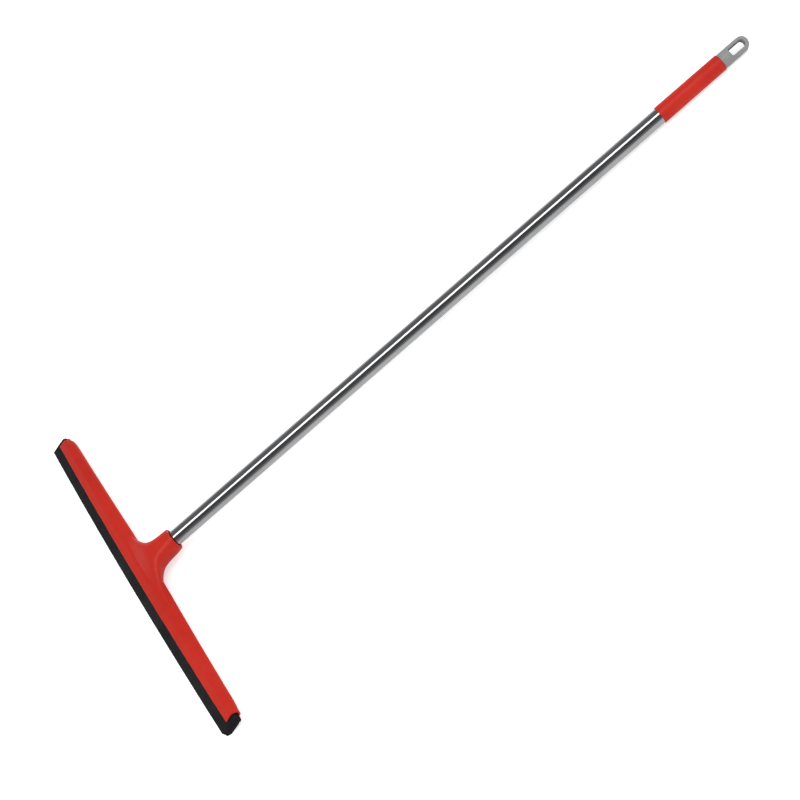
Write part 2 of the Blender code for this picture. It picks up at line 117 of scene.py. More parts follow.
def tidy(obj):
    """Closes the sliver edges that a boolean can leave."""
    bm = bmesh.new()
    bm.from_mesh(obj.data)
    bmesh.ops.remove_doubles(bm, verts=bm.verts[:], dist=2e-6)
    bmesh.ops.dissolve_degenerate(bm, edges=bm.edges[:], dist=1e-6)
    bm.to_mesh(obj.data)
    bm.free()


def remesh(obj, size_mm):
    mod = obj.modifiers.new("r", "REMESH")
    mod.mode, mod.voxel_size = "VOXEL", size_mm * MM
    apply_modifiers(obj)


def smooth(obj, factor, steps, weight=None):
    mod = obj.modifiers.new("s", "SMOOTH")
    mod.factor, mod.iterations = factor, steps
    if weight is not None:
        group = obj.vertex_groups.new(name="soft")
        steps_of = {}
        for v in obj.data.vertices:
            w = round(weight(v.co), 2)
            if w > 0.0:
                steps_of.setdefault(w, []).append(v.index)
        for w, indices in steps_of.items():
            group.add(indices, w, "REPLACE")
        mod.vertex_group = "soft"
    apply_modifiers(obj)
    obj.vertex_groups.clear()


def loft(rings):
    bm = bmesh.new()
    rows = [[bm.verts.new(Vector(p) * MM) for p in ring] for ring in rings]
    n = len(rows[0])
    for a, b in zip(rows, rows[1:]):
        for i in range(n):
            bm.faces.new((a[i], a[(i + 1) % n], b[(i + 1) % n], b[i]))
    bm.faces.new(rows[0])
    bm.faces.new(list(reversed(rows[-1])))
    return bm


def turned(profile, segments=96):
    bm = bmesh.new()
    rows = []
    for r, z in profile:
        if r < 1e-9:
            rows.append([bm.verts.new((0, 0, z * MM))])
        else:
            rows.append([bm.verts.new((r * MM * math.cos(2 * math.pi * k / segments),
                                       r * MM * math.sin(2 * math.pi * k / segments), z * MM))
                         for k in range(segments)])
    closing = [rows[0]] if len(rows[0]) > 1 and len(rows[-1]) > 1 else []
    for a, b in zip(rows, rows[1:] + closing):
        for k in range(segments):
            j = (k + 1) % segments
            if len(a) == 1 and len(b) == 1:
                continue
            if len(a) == 1:
                bm.faces.new((a[0], b[j], b[k]))
            elif len(b) == 1:
                bm.faces.new((a[k], a[j], b[0]))
            else:
                bm.faces.new((a[k], a[j], b[j], b[k]))
    return bm


def threaded_rod(minor, major, start, end, root, crest, segments=72):
    bm = bmesh.new()
    first, last = math.floor(start / PITCH) - 1, math.ceil(end / PITCH) + 1
    m = crest / 2 + (root - crest) * 0.12
    shape = [(-root / 2, minor), (-root / 2 + 0.12, minor + 0.12), (-m, major - 0.12), (-crest / 2 + 0.1, major),
             (crest / 2 - 0.1, major), (m, major - 0.12), (root / 2 - 0.12, minor + 0.12), (root / 2, minor)]
    columns = []
    for k in range(segments):
        angle = 2 * math.pi * k / segments
        columns.append([bm.verts.new((r * MM * math.cos(angle), r * MM * math.sin(angle),
                                      (PITCH * (t + k / segments) + dz) * MM))
                        for t in range(first, last) for dz, r in shape])
    per, rows = len(shape), len(columns[0])
    for a, b in zip(columns, columns[1:]):
        for i in range(rows - 1):
            bm.faces.new((a[i], b[i], b[i + 1], a[i + 1]))
    a, b = columns[-1], columns[0]
    for i in range(rows - 1 - per):
        bm.faces.new((a[i], b[i + per], b[i + 1 + per], a[i + 1]))
    for bottom in (True, False):
        loop = [e for e in bm.edges if e.is_boundary
                and (sum(v.co.z for v in e.verts) / 2 < (start + end) / 2 * MM) == bottom]
        zs = [v.co.z for e in loop for v in e.verts]
        centre = bm.verts.new((0, 0, (min(zs) - 0.002) if bottom else (max(zs) + 0.002)))
        for e in loop:
            bm.faces.new((e.verts[0], e.verts[1], centre))
    return bm


def rounded(points, radius, steps=4):
    """Replaces each corner of a closed outline with a small arc."""
    out = []
    n = len(points)
    for i in range(n):
        p, a, b = Vector(points[i]), Vector(points[i - 1]), Vector(points[(i + 1) % n])
        da, db = (a - p), (b - p)
        r = min(radius, 0.42 * da.length, 0.42 * db.length)
        pa, pb = p + da.normalized() * r, p + db.normalized() * r
        for k in range(steps + 1):
            t = k / steps
            out.append(tuple(pa * (1 - t) ** 2 + p * 2 * t * (1 - t) + pb * t ** 2))
    return out


def lerp(a, b, t):
    return a + (b - a) * t


def table(points, x):
    if x <= points[0][0]:
        return points[0][1]
    for i, ((x0, y0), (x1, y1)) in enumerate(zip(points, points[1:])):
        if x <= x1:
            xm, ym = points[i - 1] if i > 0 else (x0, y0)
            xn, yn = points[i + 2] if i + 2 < len(points) else (x1, y1)
            m0, m1 = (y1 - ym) / (x1 - xm), (yn - y0) / (xn - x0)
            h = x1 - x0
            t = (x - x0) / h
            return ((2 * t ** 3 - 3 * t ** 2 + 1) * y0 + (t ** 3 - 2 * t ** 2 + t) * h * m0
                    + (-2 * t ** 3 + 3 * t ** 2) * y1 + (t ** 3 - t ** 2) * h * m1)
    return points[-1][1]


# --------------------------------------------------------------- head frame
def ridge_height(x):
    t = min(1.0, abs(x) / (FRAME_LENGTH / 2))
    top = lerp(RIDGE_MID, RIDGE_END, t ** 0.85)
    from_end = max(0.0, FRAME_LENGTH / 2 - abs(x))
    if from_end < HIP_LENGTH:
        top -= HIP_DROP * (1 - math.sqrt(1 - (1 - from_end / HIP_LENGTH) ** 2))
    return top


def arm_outline(x):
    top = ridge_height(x)
    k = top - FLAP_TOP
    return [
        (-2.55, LIP_TO_FRAME), (-2.35, FLAP_TOP - 3.0), (-2.05, FLAP_TOP - 1.0),
        (-1.2, FLAP_TOP + 0.6), (4.4, FLAP_TOP + 0.4 + 0.78 * k), (6.1, FLAP_TOP + 0.2 + 0.92 * k),
        (MID_Y, top), (9.9, top - 0.5 - 0.04 * k), (11.6, top - 1.2 - 0.12 * k),
        (16.3, BACK_TOP + 1.2), (17.4, BACK_TOP - 0.6), (17.85, BACK_TOP - 3.0), (18.2, LIP_TO_FRAME),
    ]


def channel_outline(x):
    top = ridge_height(x)
    y0 = MID_Y - CHANNEL / 2
    half = [
        (y0, LIP_TO_FRAME - 6.0), (y0, LIP_TO_FRAME + 3.0), (y0 + BARB, LIP_TO_FRAME + 4.6),
        (y0 + 0.1, LIP_TO_FRAME + 4.9), (y0 + 0.15, LIP_TO_FRAME + 6.6), (y0 + BARB, LIP_TO_FRAME + 8.2),
        (y0 + 0.2, LIP_TO_FRAME + 8.5), (y0 + 0.5, LIP_TOP - 2.4), (y0 + 3.3, LIP_TOP + 0.4),
        (6.3, max(LIP_TOP + 0.5, top - 5.2)), (MID_Y, max(LIP_TOP + 0.6, top - 3.2)),
    ]
    return half + [(2 * MID_Y - y, z) for y, z in reversed(half[:-1])]


def swept(x, y):
    return y + BOW * (x / 250.0) ** 2


def arm_ring(x, outline, slant=1.0):
    ring = []
    for y, z in outline:
        up = END_SLANT if x > 0 else FAR_SLANT
        short = up * max(0.0, z - LIP_TO_FRAME) / 15.0 + BACK_SLANT * max(0.0, y) / 18.0
        ring.append((x * (1.0 - slant * short / (FRAME_LENGTH / 2)) + ARM_SHIFT, swept(x, y), z))
    return ring


NECK_WIDTH = [(8, 62), (14, 58), (18, 50), (22, 39.2), (26, 30.2), (31, 22.9), (37, 18.5), (44, 16.3),
              (52, 15.6), (58, 15.6), (63.5, 15.9), (MOUTH, 15.4)]
NECK_FRONT = [(8, 3.6), (14, 7.0), (20, 10.4), (27, 13.2), (37, 14.1), (50, 14.9), (58, 15.4), (63.5, 15.8), (MOUTH, 15.2)]
NECK_BACK = [(8, 16.5), (14, 14.6), (20, 14.3), (27, 14.9), (37, 16.6), (50, 17.6), (58, 17.0), (63.5, 15.9), (MOUTH, 15.2)]
NECK_POWER = [(8, 1.6), (14, 1.65), (20, 1.9), (26, 2.3), (32, 2.7), (40, 2.9), (52, 2.7), (60, 2.3), (MOUTH, 2.05)]


def neck_ring(s, count=96):
    width, front, back, power = (table(t, s) for t in (NECK_WIDTH, NECK_FRONT, NECK_BACK, NECK_POWER))
    ring = []
    for i in range(count):
        a = 2 * math.pi * (i + 0.5) / count
        c, d = math.cos(a), math.sin(a)
        ring.append((width * math.copysign(abs(c) ** (2 / power), c),
                     (back if d > 0 else front) * math.copysign(abs(d) ** (2 / power), d), s))
    return ring


def build_head():
    half = FRAME_LENGTH / 2
    xs = [i * (half - HIP_LENGTH) / 40 for i in range(40)]
    xs += [half - HIP_LENGTH * (1 - math.sin(math.pi / 2 * k / 14)) for k in range(15)]
    xs = [-x for x in reversed(xs[1:])] + xs
    head = finished(loft([arm_ring(x, arm_outline(x)) for x in xs]), "head", TOOL)
    stations = [8 + (MOUTH - 2.0 - 8) * k / 56 for k in range(57)] + [MOUTH - 1.4, MOUTH - 0.9, MOUTH - 0.4, MOUTH]
    neck = finished(loft([neck_ring(s) for s in stations]), "neck", HANDLE)
    combine(head, [neck], "UNION")
    channel = finished(loft([arm_ring(x, channel_outline(x), 0.0) for x in
                             [lerp(-half - 12, half + 12, k / 60) for k in range(61)]]), "channel", TOOL)
    recess = finished(turned([(0, RECESS_FLOOR), (RECESS_R, RECESS_FLOOR), (RECESS_R, MOUTH - 1.2),
                              (RECESS_R + 0.9, MOUTH + 0.2), (RECESS_R + 0.9, MOUTH + 4.0), (0, MOUTH + 4.0)]), "recess", HANDLE)
    rod = finished(threaded_rod(BORE_MINOR, BORE_MAJOR, BORE_END, RECESS_FLOOR + 2.0, 3.3, 2.0), "rod", HANDLE)
    limit = finished(turned([(0, BORE_END), (BORE_MAJOR + 4, BORE_END), (BORE_MAJOR + 4, RECESS_FLOOR + 1.0),
                             (0, RECESS_FLOOR + 1.0)]), "limit", HANDLE)
    combine(rod, [limit], "INTERSECT")
    combine(head, [channel, recess, rod], "DIFFERENCE")
    remesh(head, 0.6)

    # moulded fillets: soft everywhere, much softer where the neck leaves the arms
    inverse = HANDLE.inverted()
    smooth(head, 0.5, 3)

    def at_the_neck(co):
        p = inverse @ co * 1000.0
        if p.z > 60.0 or abs(p.x) > 120.0:
            return 0.0
        inside = math.hypot(p.x, p.y)
        if inside < 13.6 and p.z > 20.0:
            return 0.0                                     # bore and recess
        t = TOOL.inverted() @ co * 1000.0
        arm = min(1.0, max(0.0, (t.z - (FLAP_TOP + 1.5)) / 4.0))
        return arm * min(1.0, max(0.0, (60.0 - p.z) / 8.0)) * min(1.0, max(0.0, (120.0 - abs(p.x)) / 30.0))

    def where_the_flare_ends(co):
        p, t = inverse @ co * 1000.0, TOOL.inverted() @ co * 1000.0
        return max(0.0, 1.0 - math.hypot(abs(p.x) - 42.0, t.z - 42.0) / 20.0) * at_the_neck(co)

    smooth(head, 0.5, 42, at_the_neck)
    smooth(head, 0.5, 170, where_the_flare_ends)
    head.name = "head_moulding"
    shade(head.data, 60.0)
    return head


# ---------------------------------------------------------------- foam lips
def lip_outline(front):
    a = MID_Y - CHANNEL / 2 + 0.35
    inner = MID_Y - LIP_GAP / 2
    edge = [(inner, -2.2), (a, 0.0)] if front else [(inner, -2.3), (4.2, -3.6), (a, 0.2)]
    rows = []
    for z0, z1 in ((1.5, LIP_TO_FRAME + 1.0),):
        rows += [(a, lerp(z0, z1, k / 6)) for k in range(7)]
    side_points = [
        (a, LIP_TO_FRAME + 2.6), (a + BARB, LIP_TO_FRAME + 4.5), (a + BARB, LIP_TO_FRAME + 5.2),
        (a + 0.15, LIP_TO_FRAME + 5.4), (a + 0.15, LIP_TO_FRAME + 6.3), (a + BARB, LIP_TO_FRAME + 8.1),
        (a + BARB, LIP_TO_FRAME + 8.7), (a + 0.5, LIP_TO_FRAME + 8.9), (a + 0.6, LIP_TOP - 2.6),
        (a + 3.4, LIP_TOP), (inner, LIP_TOP),
    ]
    outline = edge + rows + side_points
    if not front:
        outline = [(2 * MID_Y - y, z) for y, z in outline]
    return rounded(outline, 0.55, 3)


def build_lip(name, front):
    outline = lip_outline(front)
    cy = sum(p[0] for p in outline) / len(outline)
    cz = sum(p[1] for p in outline) / len(outline)
    half = LIP_LENGTH / 2
    count = 150
    xs = [-half, -half + 0.12, -half + 0.4] + [lerp(-half + 1.2, half - 1.2, k / count) for k in range(count + 1)]
    xs += [half - 0.4, half - 0.12, half]
    rings = []
    for x in xs:
        d = half - abs(x)
        pull = 0.45 * (1 - math.sqrt(max(0.0, 1 - (1 - min(1.0, d / 0.45)) ** 2)))   # rounded cut edge
        ring = []
        for y, z in outline:
            away = Vector((y - cy, z - cz))
            k = 1 - pull / max(2.0, away.length)
            yy, zz = cy + away.x * k, cz + away.y * k
            n = noise.noise(Vector((x * 0.11, yy * 0.5, zz * 0.3))) * 0.10 + noise.noise(Vector((x * 0.5, yy, zz))) * 0.05
            if z < LIP_TO_FRAME + 1.0:
                yy += n * (1 if y > cy else -1) * (0.0 if abs(y - MID_Y) < 0.4 else 1.0)
                zz += noise.noise(Vector((x * 0.07, 3.1 if front else 8.7, 0))) * 0.12 if z < 1.0 else 0.0
            ring.append((x, swept(x, yy), zz))
        rings.append(ring)
    return finished(loft(rings), name, TOOL, 50.0)


# ------------------------------------------------------------------- handle
def cross_hole(name, radius, reach):
    bm = turned([(0, -reach), (radius, -reach), (radius, reach), (0, reach)], 40)
    bmesh.ops.rotate(bm, cent=(0, 0, 0), matrix=Matrix.Rotation(math.pi / 2, 3, "Y"), verts=bm.verts[:])
    bmesh.ops.translate(bm, vec=(0, 0, RIVET_AT * MM), verts=bm.verts[:])
    return finished(bm, name, HANDLE)


def build_tube():
    zs = [lerp(TUBE_START + 20, TUBE_END - 20, k / 24) for k in range(25)]
    profile = [(TUBE_BORE, TUBE_START), (TUBE_R - 0.3, TUBE_START), (TUBE_R - 0.1, TUBE_START + 0.08), (TUBE_R, TUBE_START + 0.3)]
    profile += [(TUBE_R, z) for z in zs]
    profile += [(TUBE_R, TUBE_END - 0.3), (TUBE_R - 0.1, TUBE_END - 0.08), (TUBE_R - 0.3, TUBE_END), (TUBE_BORE, TUBE_END)]
    tube = finished(turned(profile, 128), "chromed_tube", HANDLE)
    combine(tube, [cross_hole("hole", RIVET_R + 0.3, 14.0)], "DIFFERENCE")
    tidy(tube)
    shade(tube.data, 40.0)
    return tube


def build_plug():
    body = finished(turned([(0, RECESS_FLOOR - 3.0), (PLUG_MINOR - 0.1, RECESS_FLOOR - 3.0), (PLUG_MINOR - 0.1, RECESS_FLOOR + 0.4),
                            (TUBE_R - 0.35, RECESS_FLOOR + 0.5), (TUBE_R - 0.1, RECESS_FLOOR + 0.7), (TUBE_R - 0.1, TUBE_START - 0.5),
                            (TUBE_R - 0.3, TUBE_START - 0.3), (TUBE_BORE - 0.3, TUBE_START - 0.3), (TUBE_BORE - 0.3, PLUG_TOP - 2.0),
                            (TUBE_BORE - 1.3, PLUG_TOP), (6.6, PLUG_TOP), (6.6, TUBE_START + 12.0), (0, TUBE_START + 11.0)]),
                    "screw_plug", HANDLE)
    rod = finished(threaded_rod(PLUG_MINOR, PLUG_MAJOR, PLUG_END, RECESS_FLOOR, 2.5, 1.2), "rod", HANDLE)
    limit = finished(turned([(0, PLUG_END), (PLUG_MINOR - 1.2, PLUG_END), (PLUG_MAJOR + 0.6, PLUG_END + 2.6),
                             (PLUG_MAJOR + 0.6, RECESS_FLOOR - 2.6), (PLUG_MINOR - 0.6, RECESS_FLOOR - 1.2),
                             (0, RECESS_FLOOR - 1.2)]), "limit", HANDLE)
    combine(rod, [limit], "INTERSECT")
    combine(body, [rod], "UNION")
    core = finished(turned([(0, PLUG_END - 2), (5.6, PLUG_END - 2), (5.2, TUBE_START + 1.0), (0, TUBE_START + 1.0)]), "core", HANDLE)
    combine(body, [core, cross_hole("hole", RIVET_R + 0.3, 14.0)], "DIFFERENCE")
    remesh(body, 0.4)
    smooth(body, 0.5, 2)
    body.name = "screw_plug"
    shade(body.data, 50.0)
    return body


def build_rivet():
    r, h = RIVET_R, TUBE_R + 0.3
    head = [(2.9 * math.sin(math.pi / 2 * k / 6), h + 0.75 * math.cos(math.pi / 2 * k / 6)) for k in range(7)]
    profile = [(x, -z) for x, z in head] + [(r, -h), (r, h)] + [(x, z) for x, z in reversed(head)]
    bm = turned(profile, 40)
    bmesh.ops.rotate(bm, cent=(0, 0, 0), matrix=Matrix.Rotation(math.pi / 2, 3, "Y"), verts=bm.verts[:])
    bmesh.ops.translate(bm, vec=(0, 0, RIVET_AT * MM), verts=bm.verts[:])
    return finished(bm, "cross_rivet", HANDLE)


def build_grip():
    a, b = GRIP_START, GRIP_END
    profile = [(GRIP_BORE, a + 0.1), (GRIP_BORE + 0.15, a), (GRIP_R0 - 0.35, a), (GRIP_R0 - 0.1, a + 0.12), (GRIP_R0, a + 0.45)]
    profile += [(lerp(GRIP_R0, GRIP_R1, k / 30), lerp(a + 1.2, b - 1.0, k / 30)) for k in range(31)]
    profile += [(GRIP_R1, b - 0.35), (GRIP_R1 - 0.08, b - 0.1), (GRIP_R1 - 0.22, b), (GRIP_BORE, b)]
    return finished(turned(profile, 112), "red_grip", HANDLE)


def build_bush():
    return finished(turned([(BUSH_BORE, BUSH_START), (TUBE_BORE - 1.2, BUSH_START), (TUBE_BORE - 0.3, BUSH_START + 2.0),
                            (TUBE_BORE - 0.3, TUBE_END + 0.3), (TUBE_R - 0.15, TUBE_END + 0.3), (TUBE_R - 0.15, TUBE_END + 1.5),
                            (BUSH_BORE + 0.5, TUBE_END + 1.5), (BUSH_BORE, TUBE_END + 1.0)]), "loop_bush", HANDLE)


def build_loop():
    body = finished(turned([(0, LOOP_BASE), (LOOP_R - 0.35, LOOP_BASE), (LOOP_R - 0.08, LOOP_BASE + 0.3), (LOOP_R, LOOP_BASE + 3),
                            (LOOP_R + 0.03, LOOP_TIP - 14.0), (LOOP_R - 0.15, LOOP_TIP - 6.0), (LOOP_R - 0.8, LOOP_TIP - 2.6),
                            (LOOP_R - 1.8, LOOP_TIP - 0.8), (LOOP_R - 3.0, LOOP_TIP), (0, LOOP_TIP)]), "loop", LOOP)

    def prism(points, reach=16.0):
        return finished(loft([[(x, y, z) for x, z in points] for y in (-reach, reach)]), "prism", LOOP)

    r = LOOP_R + 0.05
    cz = LOOP_TIP - r
    tip = [(r + 0.4, LOOP_BASE - 1.0), (r + 0.4, cz)]
    tip += [(r * math.cos(a), cz + r * math.sin(a)) for a in (math.pi * k / 48 for k in range(1, 48))]
    tip += [(-r - 0.4, cz), (-r - 0.4, LOOP_BASE - 1.0)]
    combine(body, [prism(tip)], "INTERSECT")
    w, r0 = SLOT_WIDTH / 2, 2.2
    slot = []
    for k in range(9):
        a = math.pi + math.pi / 2 * k / 8
        slot.append((-w + r0 + r0 * math.cos(a), SLOT_START + r0 + r0 * math.sin(a)))
    for k in range(9):
        a = -math.pi / 2 + math.pi / 2 * k / 8
        slot.append((w - r0 + r0 * math.cos(a), SLOT_START + r0 + r0 * math.sin(a)))
    top = math.sin(math.radians(73.0))
    for k in range(13):
        a = math.radians(73.0) * k / 12
        slot.append((w * math.cos(a), SLOT_END - 4.4 + 4.4 * math.sin(a) / top))
    for k in range(13):
        a = math.pi - math.radians(73.0) * (12 - k) / 12
        slot.append((w * math.cos(a), SLOT_END - 4.4 + 4.4 * math.sin(a) / top))
    b = BUSH_START
    stem = finished(turned([(0, b - 7.0), (4.6, b - 7.0), (7.0, b - 2.6), (7.0, b - 1.2), (STEM_R, b - 0.6),
                            (STEM_R, LOOP_BASE + 2.0), (0, LOOP_BASE + 2.0)]), "stem", LOOP)
    combine(body, [stem], "UNION")
    split = bmesh.new()
    bmesh.ops.create_cube(split, size=1.0, matrix=Matrix.Translation((0, 0, (b + 4.0) * MM)) @ Matrix.Diagonal((0.0016, 0.03, 0.026, 1)))
    combine(body, [prism(slot), finished(split, "split", LOOP)], "DIFFERENCE")
    remesh(body, 0.34)
    smooth(body, 0.5, 5)
    body.name = "grey_loop"
    shade(body.data, 60.0)
    return body


# ---------------------------------------------------------------- materials
class Nodes:
    """Small helper to write a node material top to bottom."""

    def __init__(self, name, colour, roughness, metallic=0.0):
        self.mat = bpy.data.materials.new(name)
        self.mat.use_nodes = True
        self.tree = self.mat.node_tree
        self.bsdf = self.tree.nodes["Principled BSDF"]
        self.bsdf.inputs["Metallic"].default_value = metallic
        self.bsdf.inputs["Roughness"].default_value = roughness
        self.bsdf.inputs["Base Color"].default_value = (*colour, 1)
        self.coords = self.tree.nodes.new("ShaderNodeTexCoord").outputs["Object"]

    def node(self, kind, **inputs):
        n = self.tree.nodes.new(kind)
        for key, value in inputs.items():
            socket = n.inputs[key.replace("_", " ")]
            if hasattr(value, "is_output"):
                self.tree.links.new(value, socket)
            else:
                socket.default_value = value
        return n

    def stretch(self, x, y, z):
        n = self.node("ShaderNodeMapping", Vector=self.coords)
        n.inputs["Scale"].default_value = (x, y, z)
        return n.outputs["Vector"]

    def noise(self, scale, detail=4.0, rough=0.5, vector=None):
        return self.node("ShaderNodeTexNoise", Vector=vector or self.coords, Scale=scale, Detail=detail,
                         Roughness=rough).outputs["Fac"]

    def cells(self, scale, feature="F1", vector=None):
        n = self.tree.nodes.new("ShaderNodeTexVoronoi")
        n.feature = feature
        self.tree.links.new(vector or self.coords, n.inputs["Vector"])
        n.inputs["Scale"].default_value = scale
        return n.outputs["Distance"]

    def ramp(self, fac, stops):
        n = self.node("ShaderNodeValToRGB", Fac=fac)
        while len(n.color_ramp.elements) < len(stops):
            n.color_ramp.elements.new(0.5)
        for e, (at, colour) in zip(n.color_ramp.elements, stops):
            e.position = at
            e.color = (*colour, 1) if isinstance(colour, tuple) else (colour, colour, colour, 1)
        return n.outputs["Color"]

    def remap(self, value, a, b, c, d):
        n = self.tree.nodes.new("ShaderNodeMapRange")
        self.tree.links.new(value, n.inputs["Value"])
        for key, v in zip(("From Min", "From Max", "To Min", "To Max"), (a, b, c, d)):
            n.inputs[key].default_value = v
        return n.outputs["Result"]

    def math(self, op, a, b):
        n = self.tree.nodes.new("ShaderNodeMath")
        n.operation = op
        for i, v in enumerate((a, b)):
            if hasattr(v, "is_output"):
                self.tree.links.new(v, n.inputs[i])
            else:
                n.inputs[i].default_value = v
        return n.outputs[0]

    def mix(self, fac, a, b):
        n = self.tree.nodes.new("ShaderNodeMix")
        n.data_type = "RGBA"
        for key, v in ((0, fac), (6, a), (7, b)):
            if hasattr(v, "is_output"):
                self.tree.links.new(v, n.inputs[key])
            else:
                n.inputs[key].default_value = (*v, 1) if isinstance(v, tuple) else v
        return n.outputs[2]

    def bump(self, height, strength, distance, below=None):
        n = self.node("ShaderNodeBump", Height=height, Strength=strength, Distance=distance)
        if below is not None:
            self.tree.links.new(below, n.inputs["Normal"])
        return n.outputs["Normal"]

    def link(self, key, value):
        self.tree.links.new(value, self.bsdf.inputs[key])

    def edges(self, low, high):
        """1 on sharp outside edges, where handling wears a moulding."""
        geo = self.tree.nodes.new("ShaderNodeNewGeometry")
        return self.remap(geo.outputs["Pointiness"], low, high, 0.0, 1.0)


def moulded(name, dark, mid, light, rough=(0.3, 0.44), peel=0.10, worn=(0.3, 0.3, 0.3), shine=0.28):
    """Injection moulded plastic: slight flow mottle, orange peel, fine scratches, rubbed edges."""
    m = Nodes(name, mid, 0.36)
    m.bsdf.inputs["Specular IOR Level"].default_value = shine
    flow = m.noise(9.0, 3.0, 0.55, m.stretch(0.5, 1.6, 1.6))
    mottle = m.noise(55.0, 5.0, 0.6)
    tone = m.math("ADD", m.math("MULTIPLY", flow, 0.65), m.math("MULTIPLY", mottle, 0.35))
    base = m.ramp(tone, [(0.30, dark), (0.5, mid), (0.72, light)])
    scratch = m.noise(240.0, 2.0, 0.4, m.stretch(0.10, 1.0, 1.0))
    scuff = m.math("MULTIPLY", m.remap(scratch, 0.63, 0.72, 0.0, 1.0), m.remap(m.noise(22.0, 3.0, 0.6), 0.5, 0.68, 0.0, 1.0))
    base = m.mix(m.math("MULTIPLY", scuff, 0.18), base, worn)
    rubbed = m.math("MULTIPLY", m.edges(0.52, 0.60), m.remap(m.noise(70.0, 4.0, 0.6), 0.42, 0.62, 0.0, 0.35))
    base = m.mix(rubbed, base, worn)
    m.link("Base Color", base)
    rough_value = m.remap(m.math("ADD", m.math("MULTIPLY", m.noise(34.0, 4.0, 0.6), 0.7), m.math("MULTIPLY", scuff, 0.3)),
                          0.2, 0.65, rough[0], rough[1])
    m.link("Roughness", rough_value)
    grain = m.bump(m.noise(1400.0, 3.0, 0.6), 0.10, 0.0002)
    peeled = m.bump(m.noise(330.0, 2.0, 0.5), peel, 0.0006, grain)
    m.link("Normal", m.bump(scratch, 0.04, 0.0003, peeled))
    return m.mat


def foam_material():
    m = Nodes("black_foam_rubber", (0.017, 0.018, 0.020), 0.93)
    m.bsdf.inputs["Specular IOR Level"].default_value = 0.12
    cells = m.cells(620.0)
    fine = m.cells(1500.0)
    dust = m.noise(26.0, 6.0, 0.65)
    # painted shade: the colour darkens towards each foam cell's centre, where the pits are bumped in; the dust part is
    # random tone
    pit_depth_and_shade = m.remap(cells, 0.05, 0.55, 0.0, 1.0)
    tone = m.math("ADD", m.math("MULTIPLY", dust, 0.7), m.math("MULTIPLY", pit_depth_and_shade, 0.3))
    m.link("Base Color", m.ramp(tone, [(0.22, (0.005, 0.0052, 0.006)), (0.5, (0.0105, 0.0108, 0.0122)),
                                      (0.72, (0.0185, 0.019, 0.0205))]))
    m.link("Roughness", m.remap(m.noise(80.0, 4.0, 0.6), 0.3, 0.7, 0.84, 0.98))
    small = m.bump(fine, 0.35, 0.0003)
    big = m.bump(pit_depth_and_shade, 0.5, 0.0005, small)
    m.link("Normal", m.bump(m.noise(110.0, 3.0, 0.6), 0.25, 0.0006, big))
    return m.mat


def chrome_material():
    m = Nodes("chrome_plate", (0.455, 0.457, 0.463), 0.07, 1.0)
    lengthwise = m.stretch(1.0, 0.02, 1.0)
    drawn = m.noise(420.0, 3.0, 0.55, lengthwise)
    smudge = m.noise(16.0, 5.0, 0.62)
    m.link("Base Color", m.ramp(smudge, [(0.3, (0.40, 0.402, 0.41)), (0.55, (0.455, 0.457, 0.463)), (0.75, (0.50, 0.50, 0.505))]))
    hair = m.remap(m.noise(900.0, 2.0, 0.5, m.stretch(1.0, 0.012, 1.0)), 0.60, 0.72, 0.0, 1.0)
    value = m.math("ADD", m.remap(smudge, 0.35, 0.72, 0.045, 0.13), m.math("MULTIPLY", hair, 0.10))
    m.link("Roughness", value)
    ripple = m.bump(m.noise(26.0, 2.0, 0.5, m.stretch(1.0, 0.5, 1.0)), 0.05, 0.0006)
    m.link("Normal", m.bump(drawn, 0.035, 0.00012, ripple))
    return m.mat


def steel_material():
    m = Nodes("rivet_steel", (0.5, 0.5, 0.51), 0.32, 1.0)
    m.link("Base Color", m.ramp(m.noise(300.0, 4.0, 0.6), [(0.3, (0.38, 0.38, 0.385)), (0.7, (0.6, 0.6, 0.61))]))
    m.link("Roughness", m.remap(m.noise(500.0, 3.0, 0.6), 0.3, 0.7, 0.24, 0.45))
    m.link("Normal", m.bump(m.noise(900.0, 3.0, 0.6), 0.15, 0.0002))
    return m.mat


def floor_material():
    m = Nodes("pale_floor", (0.92, 0.92, 0.92), 0.85)
    m.bsdf.inputs["Specular IOR Level"].default_value = 0.1
    m.bsdf.inputs["Emission Color"].default_value = (1, 1, 1, 1)
    rays = m.tree.nodes.new("ShaderNodeLightPath")
    m.link("Emission Strength", m.remap(rays.outputs["Is Camera Ray"], 0.0, 1.0, 0.10, 0.52))
    pale = m.ramp(m.noise(3.0, 3.0, 0.5), [(0.3, (0.915, 0.915, 0.913)), (0.7, (0.93, 0.93, 0.928))])
    spot = m.tree.nodes.new("ShaderNodeSeparateXYZ")               # painted reflection: glossy rays see a floor painted paler close by and darker away on +X
    m.tree.links.new(m.coords, spot.inputs[0])
    away = m.remap(spot.outputs["X"], -0.10, 0.40, 0.0, 1.0)
    # painted reflection: this ramp is the floor tone that polished parts mirror, not the floor's own colour
    painted_reflection_tone = m.ramp(away, [(0.0, 0.92), (0.15, 0.92), (0.26, 0.66), (0.51, 0.50), (1.0, 0.16)])
    m.link("Base Color", m.mix(rays.outputs["Is Glossy Ray"], pale, painted_reflection_tone))
    return m.mat


